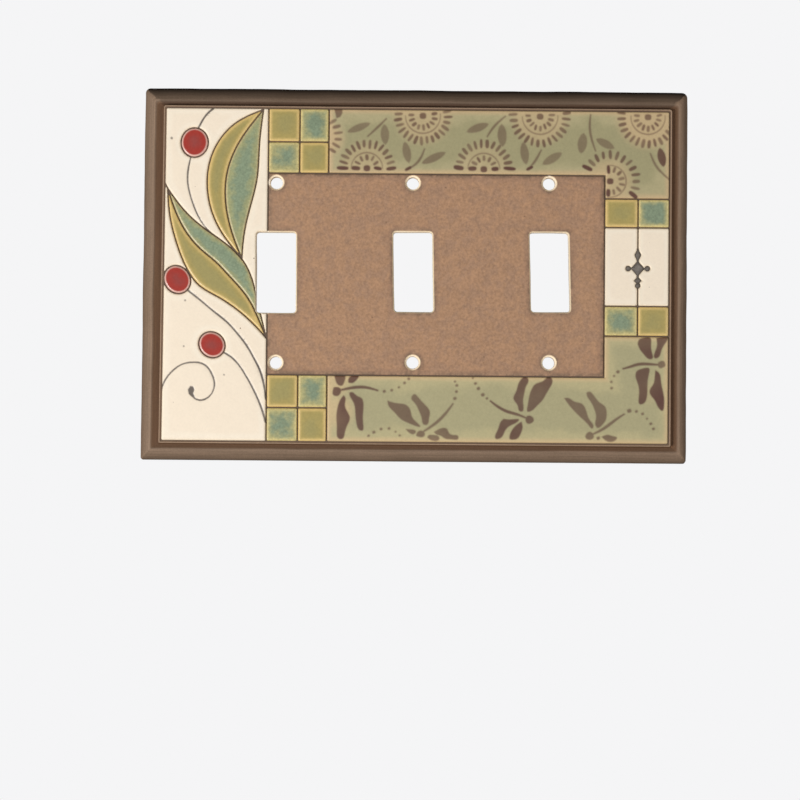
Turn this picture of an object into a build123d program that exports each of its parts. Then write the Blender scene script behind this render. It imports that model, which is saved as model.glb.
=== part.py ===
from build123d import *
import math
import os

# Three-gang toggle switch wall plate in hand-made glazed stoneware, in millimetres.
# The plate hangs upright on a wall: X runs along its width, Z is up, the wall is the plane
# Y = 0 and the decorated face looks along -Y.  The origin is the centre of the six screw
# holes, on the wall.  Every piece is drawn lying flat, x across, y up the wall and z the
# height above the wall, and `save` stands it upright when it writes it out.

# ---------------------------------------------------------------- switch standard
gang_count = 3
gang_pitch = 46.04          # toggle switches stand 1.8125 in apart
screw_pitch = 60.325        # a toggle switch's two screws are 2.375 in apart
toggle_width = 13.4         # cut by hand, wider than a pressed plate's 10.3
toggle_height = 26.9
toggle_corner = 1.0
screw_hole_radius = 2.0     # clears a 6-32 screw
screw_sink_radius = 2.6     # eased by hand, just enough to seat an oval head
screw_sink_angle = 82.0     # degrees, the included angle of a 6-32 oval head

# ---------------------------------------------------------------- clay plate
plate_width = 185.1
plate_height = 126.4
plate_shift_x = 0.9         # the hand-cut plate sits a little off the screw pattern
plate_shift_y = -0.5
corner_radius = 1.6         # the plate's own corners, seen from the front
side_height = 2.8           # straight side wall, before the edge starts to round over
floor_height = 8.8          # clay that the glaze stands on
ledge_drop = 1.2            # the flat step inside the rounded edge lies this far below it
bevel_left = 3.8            # width of the rounded edge on each side
bevel_right = 3.0
bevel_top = 4.55
bevel_bottom = 3.5
bevel_turn = 78.0           # degrees that the rounded edge turns through
bevel_steps = 4
ridge_corner_radius = 0.8
border_left = 6.95          # plate edge to the outside of the bead round the picture
border_right = 5.85
border_top = 6.55
border_bottom = 5.65
rim_width = 0.6             # raised bead of bare clay round the picture
rim_rise = 0.3
recess_depth = 4.7          # hollow back that clears the switch yokes
back_land = 7.0             # width of the flat land that meets the wall
recess_corner_radius = 4.0
over_cut = 1.0              # how far a cutter reaches past the face that it opens

# ---------------------------------------------------------------- glaze cells
line_width = 0.45           # bare line left between two glazes
berry_ring = 0.55           # wider bare ring round a berry
glaze_thickness = 0.7
matte_thickness = 0.5       # the brown middle field is a thinner, matte glaze
glaze_setback = 0.35        # bare clay left round a hole
cell_corner = 0.4           # the surface of a glaze cell rounds its corners

# centre lines of the drawn pattern: the brown field is set out from the switches, the
# mosaic from the brown field, and the rest from the bead
panel_line_offset = 2.76    # cream panel | brown field, left of the left switch's middle
column_line_offset = 18.86  # brown field | right column, right of the right switch's middle
field_over_screws = 3.24    # top of the brown field, above the upper screws
field_under_screws = 4.54
mosaic_left_width = 10.55
mosaic_right_width = 9.8
mosaic_top_share = 0.489    # where the mosaic's middle line crosses its band, from below
mosaic_bottom_share = 0.502
column_split_share = 0.517  # where the right column's middle line stands, from its left
tile_upper_top_y = 25.6     # the right column's two pairs of tiles
tile_upper_bottom_y = 15.9
tile_lower_top_y = -10.7
tile_lower_bottom_y = -20.8

# leaves and berries, outlines from tip to base, drawn on a panel of this size
drawn_left = -83.875
drawn_right = -48.8
drawn_bottom = -57.225
drawn_top = 55.325
drawn_keep_left = 10.9      # beside the frame the drawing keeps its width
drawn_keep_right = 8.7      # and so it does beside the left switch
upper_leaf_back = [(-50.6, 54.9), (-60.0, 50.2), (-67.6, 40.2), (-69.4, 29.0),
                   (-65.6, 15.2), (-57.5, 4.4)]
upper_leaf_vein = [(-50.6, 54.9), (-58.3, 44.5), (-62.6, 34.0), (-62.9, 21.5),
                   (-60.3, 11.3), (-57.5, 4.4)]
upper_leaf_front = [(-50.6, 54.9), (-51.9, 43.0), (-52.6, 31.5), (-55.3, 20.0),
                    (-57.0, 11.0), (-57.5, 4.4)]
lower_leaf_top = [(-82.9, 27.9), (-80.5, 24.6), (-75.2, 18.6), (-69.4, 13.9), (-62.5, 9.0),
                  (-56.4, 2.6), (-53.0, -6.0), (-51.1, -14.0), (-49.0, -22.4)]
lower_leaf_vein = [(-82.9, 27.9), (-79.7, 19.2), (-76.1, 12.8), (-71.0, 7.1), (-66.3, 3.2),
                   (-62.2, -1.0), (-55.6, -8.6), (-51.6, -16.2), (-49.0, -22.4)]
lower_leaf_bottom = [(-82.9, 27.9), (-82.0, 18.6), (-79.5, 9.2), (-76.1, 1.0), (-71.4, -5.1),
                     (-66.2, -8.2), (-57.5, -14.0), (-52.3, -18.8), (-49.0, -22.4)]
leaf_stalk = [(-84.3, 30.6), (-82.9, 27.9)]     # joins the lower leaf's tip to the frame
# a berry is a little oval: its centre, half its length, half its width and its lean in degrees
berry_top_shape = ((-73.85, 43.5), 4.75, 4.45, 86.0)
berry_left_shape = ((-79.2, -2.9), 4.7, 4.15, -54.0)
berry_low_shape = ((-67.3, -24.8), 4.4, 4.0, -40.0)

# finial drawn on the right column's cream panel
finial_height = 2.1         # centre above the screw holes' middle
finial_thickness = 0.5
finial_clearance = 0.05
finial_stem_width = 0.5
finial_reach_up = 6.6       # stem, centre to spear point
finial_reach_down = 6.6
diamond_half_width = 2.3
diamond_half_height = 2.6
side_bead_offset = 3.25
side_bead_radius = 0.85
spear_offset = 4.3
spear_half_width = 1.05
spear_half_height = 2.2
drop_offset = 4.1
drop_half_size = 1.2
drop_bead_offset = 5.8
drop_bead_radius = 0.8

# ---------------------------------------------------------------- worked out from the above
plate_left = plate_shift_x - plate_width / 2
plate_right = plate_shift_x + plate_width / 2
plate_bottom = plate_shift_y - plate_height / 2
plate_top = plate_shift_y + plate_height / 2
slab_left = plate_left + border_left
slab_right = plate_right - border_right
slab_bottom = plate_bottom + border_bottom
slab_top = plate_top - border_top
half_line = line_width / 2
line_left = slab_left + rim_width + half_line      # centre of the line inside the bead
line_right = slab_right - rim_width - half_line
line_bottom = slab_bottom + rim_width + half_line
line_top = slab_top - rim_width - half_line
ledge_height = floor_height - ledge_drop
sink_depth = (screw_sink_radius - screw_hole_radius) / math.tan(math.radians(screw_sink_angle / 2))
gang_xs = [gang_pitch * (i - (gang_count - 1) / 2) for i in range(gang_count)]
screw_centres = [(x, side * screw_pitch / 2) for x in gang_xs for side in (1, -1)]
panel_line_x = gang_xs[0] - panel_line_offset
mosaic_line_x = panel_line_x + mosaic_left_width
mosaic_end_x = mosaic_line_x + mosaic_right_width
column_line_x = gang_xs[-1] + column_line_offset
column_split_x = column_line_x + (line_right - column_line_x) * column_split_share
middle_top_y = screw_pitch / 2 + field_over_screws
middle_bottom_y = -screw_pitch / 2 - field_under_screws
mosaic_top_y = middle_top_y + (line_top - middle_top_y) * mosaic_top_share
mosaic_bottom_y = line_bottom + (middle_bottom_y - line_bottom) * mosaic_bottom_share
through = 2 * floor_height  # long enough to pass right through the plate

upright = Plane(origin=(0, 0, 0), x_dir=(1, 0, 0), z_dir=(0, -1, 0))


def rounded_block(left, right, bottom, top, low, high, radius):
    """A block between two heights, with its four upright corners rounded."""
    sheet = rounded_sheet(left, right, bottom, top, radius)
    return Pos(0, 0, low) * extrude(sheet, high - low)


def rounded_sheet(left, right, bottom, top, radius):
    """A flat rounded rectangle given by its four sides."""
    sheet = RectangleRounded(right - left, top - bottom, radius)
    return Pos((left + right) / 2, (bottom + top) / 2) * sheet


def toggle_cutter(grow):
    """The three switch openings, right through, `grow` bigger all round."""
    width = toggle_width + 2 * grow
    height = toggle_height + 2 * grow
    slot = extrude(RectangleRounded(width, height, toggle_corner + grow), through)
    return [Pos(x, 0, -over_cut) * slot for x in gang_xs]


def screw_cutter():
    """The six screw holes with their countersinks."""
    hole = Cylinder(screw_hole_radius, 2 * through)
    sink = Cone(screw_hole_radius, screw_sink_radius, sink_depth,
                align=(Align.CENTER, Align.CENTER, Align.MAX))
    mouth = Cylinder(screw_sink_radius, glaze_thickness,
                     align=(Align.CENTER, Align.CENTER, Align.MIN))
    cutter = hole + Pos(0, 0, floor_height) * (sink + mouth)
    return [Pos(x, y) * cutter for x, y in screw_centres]


def clay_plate():
    """The stoneware body: rounded edge, ledge, raised picture slab and hollow back."""
    body = rounded_block(plate_left, plate_right, plate_bottom, plate_top,
                         0, side_height, corner_radius)
    sections = []
    for step in range(bevel_steps + 1):
        turn = math.radians(bevel_turn * step / bevel_steps)
        inward = (1 - math.cos(turn)) / (1 - math.cos(math.radians(bevel_turn)))
        rise = math.sin(turn) / math.sin(math.radians(bevel_turn))
        radius = corner_radius + (ridge_corner_radius - corner_radius) * inward
        sheet = rounded_sheet(plate_left + bevel_left * inward, plate_right - bevel_right * inward,
                              plate_bottom + bevel_bottom * inward, plate_top - bevel_top * inward,
                              radius)
        sections.append(Pos(0, 0, side_height + (ledge_height - side_height) * rise) * sheet)
    body += loft(sections, ruled=True)
    body += rounded_block(slab_left, slab_right, slab_bottom, slab_top,
                          side_height, floor_height + rim_rise, ridge_corner_radius)
    body -= rounded_block(slab_left + rim_width, slab_right - rim_width,
                          slab_bottom + rim_width, slab_top - rim_width,
                          floor_height, through, cell_corner)
    body -= rounded_block(plate_left + back_land, plate_right - back_land,
                          plate_bottom + back_land, plate_top - back_land,
                          -over_cut, recess_depth, recess_corner_radius)
    for cutter in toggle_cutter(0) + screw_cutter():
        body -= cutter
    return body


def hole_clearance(thickness):
    """What a glaze cell leaves bare round the openings and countersinks."""
    sink = Cylinder(screw_sink_radius + glaze_setback, thickness + 2 * over_cut,
                    align=(Align.CENTER, Align.CENTER, Align.MIN))
    sinks = [Pos(x, y, floor_height - over_cut) * sink for x, y in screw_centres]
    return toggle_cutter(glaze_setback) + sinks


def glaze_layer(sheet, thickness=glaze_thickness):
    """A layer of glaze of the sheet's outline, standing on the clay floor, clear of the holes."""
    layer = Pos(0, 0, floor_height) * extrude(sheet, thickness)
    for cutter in hole_clearance(thickness):
        layer -= cutter
    return layer


def glaze_cell(sheet, thickness=glaze_thickness):
    """One glaze cell: a screw hole can nick off a corner, and that crumb isn't glazed."""
    return glaze_layer(sheet, thickness).solids().sort_by(SortBy.VOLUME)[-1]


def tile_sheet(left, right, bottom, top):
    """A rectangular cell between four line centres, drawn back from them by half a line."""
    return rounded_sheet(left + half_line, right - half_line,
                         bottom + half_line, top - half_line, cell_corner)


def band_sheet(y_edge, y_middle, y_leg):
    """A band along the top or bottom that turns down or up into the right column."""
    corners = [(mosaic_end_x, y_edge), (line_right, y_edge), (line_right, y_leg),
               (column_line_x, y_leg), (column_line_x, y_middle), (mosaic_end_x, y_middle)]
    return offset(make_face(Polyline(corners, close=True)), -half_line, kind=Kind.INTERSECTION)


def on_panel(point):
    """Where a point drawn on the cream panel comes on the panel as it is made.

    The drawing keeps its width beside the frame and beside the switch, and stretches between.
    """
    kept = drawn_keep_left + drawn_keep_right
    drawn_middle = drawn_right - drawn_left - kept
    x_scale = (panel_line_x - line_left - kept) / drawn_middle
    y_scale = (line_top - line_bottom) / (drawn_top - drawn_bottom)
    from_left = point[0] - drawn_left
    stretched = min(max(from_left - drawn_keep_left, 0), drawn_middle)
    beyond = max(from_left - drawn_keep_left - drawn_middle, 0)
    return Vector(line_left + min(from_left, drawn_keep_left) + stretched * x_scale + beyond,
                  line_top + (point[1] - drawn_top) * y_scale)


def berry_sheet(centre, half_length, half_width, lean, grow=0.0):
    """A berry's outline, `grow` bigger all round."""
    return Pos(on_panel(centre)) * Rot(0, 0, lean) * Ellipse(half_length + grow, half_width + grow)


def leaf_sheet(side_one, side_two, inset):
    """The outline between two curves that share both ends, moved inwards by `inset`.

    A point of the leaf moves further, along the leaf, so that both sides keep the same gap.
    """
    loop = [on_panel(point) for point in side_one + side_two[-2:0:-1]]
    ends = (0, len(side_one) - 1)
    area = sum(a.cross(b).Z for a, b in zip(loop, loop[1:] + loop[:1]))
    moved = []
    for i, point in enumerate(loop):
        before = (loop[i - 1] - point).normalized()
        after = (loop[(i + 1) % len(loop)] - point).normalized()
        if i in ends:
            half_angle = math.radians(before.get_angle(after) / 2)
            moved.append(point + (before + after).normalized() * (inset / math.sin(half_angle)))
        else:
            along = (after - before).normalized()
            moved.append(point + Vector(-along.Y, along.X) * math.copysign(inset, inset * area))
    first, last = moved[0], moved[ends[1]]
    back = [first] + moved[:ends[1]:-1] + [last]
    return make_face([Spline(moved[:ends[1] + 1]), Spline(back)])


def cream_cells():
    """The cream ground behind the leaves and berries, in the cells that they leave."""
    ground = tile_sheet(line_left, panel_line_x, line_bottom, line_top)
    ground -= leaf_sheet(upper_leaf_back, upper_leaf_front, -half_line)
    ground -= leaf_sheet(lower_leaf_top, lower_leaf_bottom, -half_line)
    ground -= trace(Line(*[on_panel(point) for point in leaf_stalk]), line_width)
    for shape in berries.values():
        ground -= berry_sheet(*shape, grow=berry_ring)
    return glaze_layer(ground).solids().sort_by(Axis.Y)


def rhombus(half_width, half_height):
    """A diamond standing on its point."""
    corners = [(half_width, 0), (0, half_height), (-half_width, 0), (0, -half_height)]
    return make_face(Polyline(corners, close=True))


def finial_sheet(grow):
    """The drawn finial: stem, centre diamond, two side beads, spear point and drop."""
    length = finial_reach_up + finial_reach_down + 2 * grow
    sheet = Pos(0, (finial_reach_up - finial_reach_down) / 2) * Rectangle(
        finial_stem_width + 2 * grow, length)
    sheet += Rectangle(2 * side_bead_offset, finial_stem_width + 2 * grow)
    sheet += rhombus(diamond_half_width + grow, diamond_half_height + grow)
    for side in (1, -1):
        sheet += Pos(side * side_bead_offset, 0) * Circle(side_bead_radius + grow)
    sheet += Pos(0, spear_offset) * rhombus(spear_half_width + grow, spear_half_height + grow)
    sheet += Pos(0, -drop_offset) * rhombus(drop_half_size + grow, drop_half_size + grow)
    sheet += Pos(0, -drop_bead_offset) * Circle(drop_bead_radius + grow)
    return Pos(column_split_x, finial_height) * sheet


def save(node, shape):
    """Stand a piece upright against the wall and write it under its node's name."""
    piece = upright * shape
    piece.label = node
    export_step(piece, f"parts/{node}.step")
    print(f"{node:28s} {len(piece.solids())} solid(s) {piece.volume:10.2f} mm3")


berries = {
    "berry_top": berry_top_shape,
    "berry_left": berry_left_shape,
    "berry_low": berry_low_shape,
}
cream_names = ["cream_ground_low", "cream_ground_sliver", "cream_ground_side",
               "cream_ground_strip", "cream_ground_high"]
leaves = {
    "upper_leaf_back": (upper_leaf_back, upper_leaf_vein),
    "upper_leaf_front": (upper_leaf_vein, upper_leaf_front),
    "lower_leaf_bottom": (lower_leaf_vein, lower_leaf_bottom),
}
mosaic_xs = [panel_line_x, mosaic_line_x, mosaic_end_x]
mosaics = {
    "mosaic_top": [middle_top_y, mosaic_top_y, line_top],
    "mosaic_bottom": [line_bottom, mosaic_bottom_y, middle_bottom_y],
}
column_xs = [column_line_x, column_split_x, line_right]
column_tiles = {
    "tile_upper": [tile_upper_bottom_y, tile_upper_top_y],
    "tile_lower": [tile_lower_bottom_y, tile_lower_top_y],
}
sides = ("left", "right")

os.makedirs("parts", exist_ok=True)
save("clay_plate", clay_plate())

for node, cell in zip(cream_names, cream_cells(), strict=True):
    save(node, cell)
for node, (side_one, side_two) in leaves.items():
    save(node, glaze_cell(leaf_sheet(side_one, side_two, half_line)))
# the left switch opening cuts the lower leaf's upper half in two
leaf_top = glaze_layer(leaf_sheet(lower_leaf_top, lower_leaf_vein, half_line))
for node, cell in zip(("lower_leaf_top", "lower_leaf_tip"), leaf_top.solids().sort_by(Axis.X),
                      strict=True):
    save(node, cell)
for node, shape in berries.items():
    save(node, glaze_cell(berry_sheet(*shape)))

for name, ys in mosaics.items():
    for row, level in enumerate(("low", "high")):
        for column, side in enumerate(sides):
            sheet = tile_sheet(mosaic_xs[column], mosaic_xs[column + 1], ys[row], ys[row + 1])
            save(f"{name}_{level}_{side}", glaze_cell(sheet))
for name, ys in column_tiles.items():
    for column, side in enumerate(sides):
        sheet = tile_sheet(column_xs[column], column_xs[column + 1], *ys)
        save(f"{name}_{side}", glaze_cell(sheet))

save("sage_band_top", glaze_cell(band_sheet(line_top, middle_top_y, tile_upper_top_y)))
save("sage_band_bottom",
     glaze_cell(band_sheet(line_bottom, middle_bottom_y, tile_lower_bottom_y)))
save("brown_field",
     glaze_cell(tile_sheet(panel_line_x, column_line_x, middle_bottom_y, middle_top_y),
                matte_thickness))

for column, side in enumerate(sides):
    sheet = tile_sheet(column_xs[column], column_xs[column + 1],
                       tile_lower_top_y, tile_upper_bottom_y)
    save(f"cream_column_{side}", glaze_cell(sheet - finial_sheet(finial_clearance)))
save("finial", glaze_cell(finial_sheet(0), finial_thickness))
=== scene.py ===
import bpy
import math
import numpy as np
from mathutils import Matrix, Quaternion, Vector
from mathutils.geometry import delaunay_2d_cdt


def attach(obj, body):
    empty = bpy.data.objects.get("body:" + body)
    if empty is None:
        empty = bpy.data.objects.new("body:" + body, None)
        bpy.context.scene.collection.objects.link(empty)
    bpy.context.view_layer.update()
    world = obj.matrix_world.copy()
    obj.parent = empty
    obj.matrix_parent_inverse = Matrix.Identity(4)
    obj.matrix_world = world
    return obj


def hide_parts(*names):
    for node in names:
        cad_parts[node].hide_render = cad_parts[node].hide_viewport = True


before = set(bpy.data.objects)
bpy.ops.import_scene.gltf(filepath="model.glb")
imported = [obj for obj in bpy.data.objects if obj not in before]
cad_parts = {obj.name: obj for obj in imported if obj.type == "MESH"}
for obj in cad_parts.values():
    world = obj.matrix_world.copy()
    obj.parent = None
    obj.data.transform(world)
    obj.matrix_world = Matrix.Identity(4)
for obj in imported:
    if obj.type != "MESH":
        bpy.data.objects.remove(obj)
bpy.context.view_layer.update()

# A hand-made stoneware cover plate for three toggle switches, hanging on a wall that is the
# plane y = 0, with its decorated face towards -y.  Pieces are drawn in millimetres as seen
# from the front: x across, z up, and a height above the wall.


# ---------------------------------------------------------------- the clay plate
# One slab of brown stoneware.  Its edge was rounded over with a damp sponge and a wooden
# rib, which left fine lines along it; a ledge was pared flat inside the edge and a thin bead
# of clay left standing round the picture.  The back is hollowed to clear the switch yokes.
plate_sides = (-91.35, 93.45, -63.7, 62.7)    # left, right, bottom, top
bevel_widths = (3.5, 3.0, 3.5, 4.55)
border_widths = (6.65, 5.85, 5.65, 6.55)      # plate edge to the outside of the bead
corner_shares = (0.6, 1.1, 1.0, 0.45)         # how round each corner was left, from lower right
side_shading = (1.0, 1.0, 0.86, 0.6)           # painted light and shade on each side, darker at the bottom and the top
ledge_shading = (1.0, 1.35, 1.0, 1.12)         # and on the ledge, taken times those: painted light on the right
outer_edge_shading = (1.0, 1.35, 1.0, 0.1)          # and down the outside of the rounded edge: painted light on the right, painted shade nearly black along the top
side_lines = (0.15, 0.5, 0.6, 0.5)            # how dark the drawn line inside the bead is
side_height = 2.8
crest_height = 7.6
ledge_height = 7.3
floor_height = 8.8
bead_height = 9.1
bead_width = 0.6
recess_depth = 4.7
back_land = 7.0
recess_corner = 4.0
bevel_sweep = 80                              # degrees that the rounded edge turns through
points_across, points_up = 190, 130
# the openings and holes were cut by hand, so each stands a little off the switch pattern
openings = ((-45.9, -0.22, 13.27, 27.2, 0.004), (0.35, 0.29, 13.15, 27.0, 0.021),
            (46.47, 0.55, 13.05, 26.8, 0.027))   # middle x and z, width, height, lean
screw_holes = ((-46.04, 30.16), (0.03, 30.36), (46.07, 30.58), (-45.82, -30.66), (0.35, -30.26),
               (46.3, -30.06))
screw_radius = 2.05
sink_radius = 2.3
border_lean, edge_lean_back = 0.0065, 0.003   # mm out for each mm down, and back at the very edge


def drift(points, size, phase):
    """A slow hand-made unevenness between -1 and 1 that changes over about `size` mm."""
    x, z = points[:, 0] / size, points[:, 1] / size
    waves = np.sin(x + 1.7 * phase) * np.cos(1.3 * z + phase)
    return (waves + 0.5 * np.sin(2.1 * (x + z) + 2.3 * phase)) / 1.5


def rounded_loop(sides, radius, across, up, arc=8, shares=(1, 1, 1, 1)):
    """Points anticlockwise round a rounded rectangle, the same number whatever its size."""
    left, right, bottom, top = sides
    arcs = []
    for i, (x, z) in enumerate(((right, bottom), (right, top), (left, top), (left, bottom))):
        turn = np.radians(90 * i - 90 + np.linspace(0, 90, arc + 1))
        round_by = radius * shares[i]
        x -= math.copysign(round_by, x)
        z -= math.copysign(round_by, z)
        arcs.append(np.stack([x + round_by * np.cos(turn), z + round_by * np.sin(turn)], 1))
    loop = []
    for i, count in enumerate((up, across, up, across)):
        loop += [arcs[i], np.linspace(arcs[i][-1], arcs[(i + 1) % 4][0], count + 1)[1:-1]]
    return np.concatenate(loop)


def triangles(points, loops):
    """Triangles that fill the area inside the first loop and outside the other loops."""
    edges = [pair for loop in loops for pair in zip(loop, loop[1:] + loop[:1])]
    flat, _, faces, sources, _, _ = delaunay_2d_cdt([Vector(p) for p in points], edges, [], 1, 1e-7)
    number = [min(source) if source else -1 for source in sources]
    middles = np.array([sum((flat[i] for i in face), Vector((0, 0))) / 3 for face in faces])
    wanted = inside(middles, points[loops[0]])
    for loop in loops[1:]:
        wanted &= ~inside(middles, points[loop])
    return [tuple(number[i] for i in face) for face, keep in zip(faces, wanted) if keep]


def inside(points, loop):
    """Which of the points lie inside a closed loop."""
    found = np.zeros(len(points), bool)
    for a, b in zip(loop, np.roll(loop, -1, axis=0)):
        if a[1] == b[1]:
            continue
        level = (a[1] > points[:, 1]) != (b[1] > points[:, 1])
        found ^= level & (points[:, 0] < a[0] + (points[:, 1] - a[1]) * (b[0] - a[0]) / (b[1] - a[1]))
    return found


def leaned(points):
    """The plate's left border, which was cut leaning out a little towards its foot."""
    lean = border_lean * np.clip((-74 - points[:, 0]) / 8, 0, 1)
    lean = lean - edge_lean_back * np.clip((-86 - points[:, 0]) / 3, 0, 1)
    return points + np.stack([lean * points[:, 1], np.zeros(len(points))], 1)


def stand_up(name, flat, heights, faces, **attributes):
    """Makes a closed mesh from points in front view, their heights and named point values."""
    mesh = bpy.data.meshes.new(name)
    flat = leaned(flat)
    places = np.stack([flat[:, 0], -np.asarray(heights), flat[:, 1]], 1) * 0.001
    mesh.from_pydata(places.tolist(), [], faces)
    for key, values in attributes.items():
        layer = mesh.attributes.new(key, "FLOAT", "POINT")
        layer.data.foreach_set("value", np.asarray(values, np.float32))
    mesh.validate()
    mesh.shade_smooth()
    mesh.set_sharp_from_angle(angle=math.radians(55))
    piece = bpy.data.objects.new(name, mesh)
    bpy.context.scene.collection.objects.link(piece)
    return piece


clay_flat, clay_heights, clay_faces = [], [], []
clay_values = {"tone": [], "pale_glaze_and_bounce_light": [], "line": [], "across": [], "along": [], "painted_shading": []}


def side_gaps(points, left, right, bottom, top):
    """How far each point lies inside each of four sides."""
    return np.stack([points[:, 0] - left, right - points[:, 0], points[:, 1] - bottom, top - points[:, 1]])


def by_side(loop, values):
    """A value for each point, by the side of the plate that it stands nearest to."""
    return np.array(values)[np.argmin(side_gaps(loop, *plate_sides), axis=0)]


def lay_ring(loop, height, tone=1.0, pale_glaze_and_bounce_light=0.0, line=0.0, across=0.0, painted_shading=1.0):
    """Adds one ring of points to the plate and returns their numbers."""
    first = sum(map(len, clay_flat))
    steps = np.hypot(*np.diff(loop, axis=0, append=loop[:1]).T)
    clay_flat.append(loop)
    clay_heights.append(np.broadcast_to(height, len(loop)))
    for key, value in (("tone", tone), ("pale_glaze_and_bounce_light", pale_glaze_and_bounce_light), ("line", line), ("across", across),
                       ("along", np.cumsum(steps)), ("painted_shading", painted_shading)):
        clay_values[key].append(np.broadcast_to(value, len(loop)))
    return list(range(first, first + len(loop)))


def skin(rings):
    """Covers the surface between rings of points, each with its neighbour."""
    for one, two in zip(rings, rings[1:]):
        for i in range(len(one)):
            j = (i + 1) % len(one)
            clay_faces.append((one[i], one[j], two[j], two[i]))


def edge_profile():
    """The plate's section from its back edge over the rounded edge to the picture's floor.

    Each row is the share of the bevel's width, the share of the ledge's width, a further
    inset, the height, the corner radius, the clay's tone, above 1 where rubbed clay carries
    a painted highlight, and how dark a drawn line it is.
    """
    yield 0, 0, 0.5, 0.0, 1.3, 0.8, 0
    yield 0, 0, 0.12, 0.15, 1.5, 0.8, 0
    yield 0, 0, 0.0, 0.55, 1.6, 0.9, 0
    yield 0, 0, 0.0, 1.7, 1.6, 1.0, 0
    full = math.radians(bevel_sweep)
    for step in range(10):
        turn = full * step / 9
        share = (1 - math.cos(turn)) / (1 - math.cos(full))
        rise = math.sin(turn) / math.sin(full)
        height = side_height + (crest_height - side_height) * rise
        # lighter towards the crest: rubbed clay with a painted highlight
        yield share, 0, 0, height, 1.7 - 0.7 * share, 1.0 + 0.14 * share ** 4, 0
    yield 1, 0, 0.25, crest_height - 0.02, 0.9, 1.0, 0
    yield 1, 0, 0.6, ledge_height + 0.1, 0.9, 0.7, 0
    yield 1, 0, 0.95, ledge_height, 0.9, 0.58, 0
    yield 1, 0.75, 0, ledge_height, 0.8, 0.55, 0
    yield 1, 1, -0.3, ledge_height + 0.02, 0.8, 0.52, 0
    yield 1, 1, -0.08, ledge_height + 0.15, 0.8, 0.5, 0
    yield 1, 1, 0.0, ledge_height + 0.6, 0.8, 0.58, 0
    yield 1, 1, 0.02, bead_height - 0.2, 0.8, 1.0, 0
    # the bead is lighter still: rubbed clay with a painted highlight
    yield 1, 1, 0.13, bead_height - 0.03, 0.7, 1.4, 0
    yield 1, 1, 0.3, bead_height, 0.6, 1.5, 0
    yield 1, 1, bead_width - 0.14, bead_height - 0.03, 0.5, 1.35, 0.1
    yield 1, 1, bead_width, floor_height + 0.05, 0.4, 0.9, 0.9
    yield 1, 1, bead_width + 0.03, floor_height, 0.4, 0.8, 1
    yield 1, 1, bead_width + 0.34, floor_height, 0.4, 0.8, 1
    yield 1, 1, bead_width + 0.42, floor_height, 0.4, 0.8, 2


def inset_sides(bevel_share, ledge_share, more=0.0):
    """The plate's four sides moved in by shares of the bevel's and the ledge's widths."""
    insets = [bevel_share * bevel + ledge_share * (border - bevel) + more
              for bevel, border in zip(bevel_widths, border_widths)]
    left, right, bottom, top = plate_sides
    return left + insets[0], right - insets[1], bottom + insets[2], top - insets[3]


edge_rings = []
for more, height in ((0.8, recess_depth), (0.3, recess_depth - 0.15), (0.05, recess_depth - 0.8),
                     (0.0, 0.4), (-0.25, 0.0)):
    sides = inset_sides(0, 0, back_land + more)
    loop = rounded_loop(sides, recess_corner, points_across, points_up)
    edge_rings.append(lay_ring(loop, height, 1.1))
recess_ring = edge_rings[0]
across = 0.0
previous = None
for bevel_share, ledge_share, more, height, radius, tone, line in edge_profile():
    sides = inset_sides(bevel_share, ledge_share, more)
    loop = rounded_loop(sides, radius, points_across, points_up, shares=corner_shares)
    centre = np.array([(sides[0] + sides[1]) / 2, (sides[2] + sides[3]) / 2])
    pull = 0.1 + 0.08 * drift(loop, 9, 1) + 0.03 * drift(loop, 2.6, 4)
    if height > 1 and ledge_share == 0:
        loop = loop + np.sign(centre - loop) * pull[:, None] * np.minimum(
            np.abs(loop - centre) / np.abs(loop - centre).max(0) > 0.97, 1)
    wobble = 0.05 * drift(loop, 7, 2) if side_height < height < crest_height - 0.3 else 0
    if previous is not None:
        across += math.hypot(sides[0] - previous[0], height - previous[1])
    previous = (sides[0], height)
    dark = line * by_side(loop, side_lines) if line <= 1 else 1.0
    # each side is painted lighter or darker by how light falls on it
    painted_shading = by_side(loop, side_shading)
    if ledge_share == 0:
        outer = by_side(loop, outer_edge_shading)
        painted_shading = painted_shading * (outer + (1 - outer) * bevel_share ** 0.6)
    elif height < bead_height - 0.3:
        painted_shading = painted_shading * by_side(loop, ledge_shading)
    else:
        painted_shading = np.maximum(painted_shading, 0.95)
    edge_rings.append(lay_ring(loop, height + wobble, tone, line=dark, across=across, painted_shading=painted_shading))
skin(edge_rings)

front_holes, back_holes = [], []


def cut_through(outline, profile):
    """Cuts a hole through the plate, from the picture's floor to the hollow in the back.

    `outline` gives the hole's loop at a size.  Each row of the profile is that size, the
    height, how pale it is painted there, as thin glaze at the lip and as painted light
    bounced in from behind down the wall, and how dark a drawn line it is.
    """
    rings = [lay_ring(outline(size), height, pale_glaze_and_bounce_light=pale_glaze_and_bounce_light, line=line) for size, height, pale_glaze_and_bounce_light, line in profile]
    skin(rings[::-1])
    front_holes.append(rings[0])
    back_holes.append(rings[-1])


def opening_outline(grow):
    """The loop of an opening that is grown by so many millimetres on every side."""
    sides = (-width / 2 - grow, width / 2 + grow, -tall / 2 - grow, tall / 2 + grow)
    loop = rounded_loop(sides, 1.0 + grow, 22, 44, 5)
    loop = loop + 0.08 * np.sign(loop) * drift(loop + x, 5, 3)[:, None]
    return np.stack([loop[:, 0] + x - lean * loop[:, 1], loop[:, 1] + z], 1)[::-1]


def screw_hole_outline(radius):
    """The loop of a screw hole, which turns the same way as an opening's."""
    turn = -np.linspace(0, 2 * math.pi, 49)[:-1]
    return np.stack([x + radius * np.cos(turn), z + radius * np.sin(turn)], 1)


# each hole is pale from the lip down: thin glaze at the lip, then painted light bounced in from behind down
# the wall
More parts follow.
